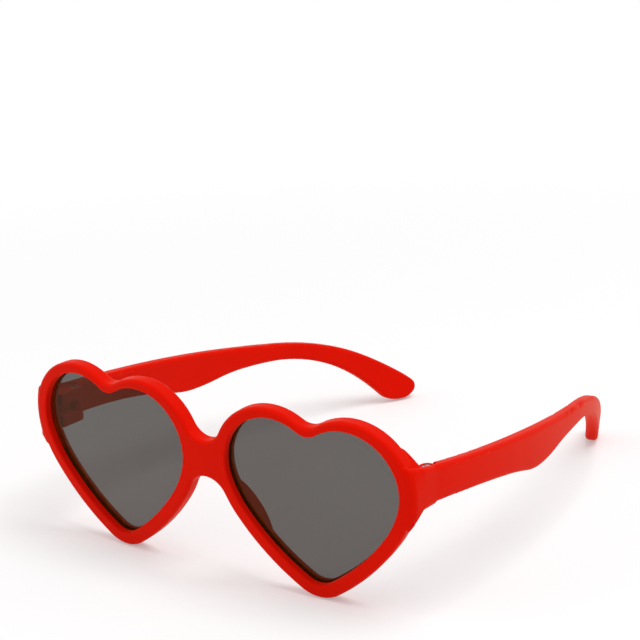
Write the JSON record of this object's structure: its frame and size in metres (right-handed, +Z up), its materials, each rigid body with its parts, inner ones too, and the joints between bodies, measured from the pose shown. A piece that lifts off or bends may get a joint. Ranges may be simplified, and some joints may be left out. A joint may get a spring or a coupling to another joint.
{
  "type": "sunglasses",
  "caption": "Heart shaped sunglasses with a moulded front, tinted lenses in grooves, nose rests and temples that fold inward on screw hinges.",
  "frame": {"origin": "on the floor, under the middle of the open glasses", "axes": "+X towards the wearer's left, +Y from the front back to the temple tips, +Z up"},
  "size_m": [0.1258, 0.149, 0.0503],
  "materials": {
    "frame_plastic": "satin red moulded plastic",
    "temple_plastic": "satin red moulded plastic",
    "lens_tint": "clear smooth grey tinted plastic",
    "screw_steel": "turned steel",
    "insert_brass": "turned brass"
  },
  "bodies": {
    "front": {"front_frame": "frame_plastic", "left_lens": "lens_tint", "right_lens": "lens_tint", "left_hinge_screw": "screw_steel", "right_hinge_screw": "screw_steel", "left_threaded_insert": "insert_brass", "right_threaded_insert": "insert_brass"},
    "left_temple": {"left_temple": "temple_plastic"},
    "right_temple": {"right_temple": "temple_plastic"}
  },
  "joints": [
    {"name": "left_temple_fold", "type": "hinge", "parent": "front", "child": "left_temple", "pos_m": [0.05805, -0.0581, 0.03257], "axis": [0, 0, 1], "range_deg": [0, 83]},
    {"name": "right_temple_fold", "type": "hinge", "parent": "front", "child": "right_temple", "pos_m": [-0.05805, -0.0581, 0.03257], "axis": [0, 0, -1], "range_deg": [0, 77]}
  ]
}
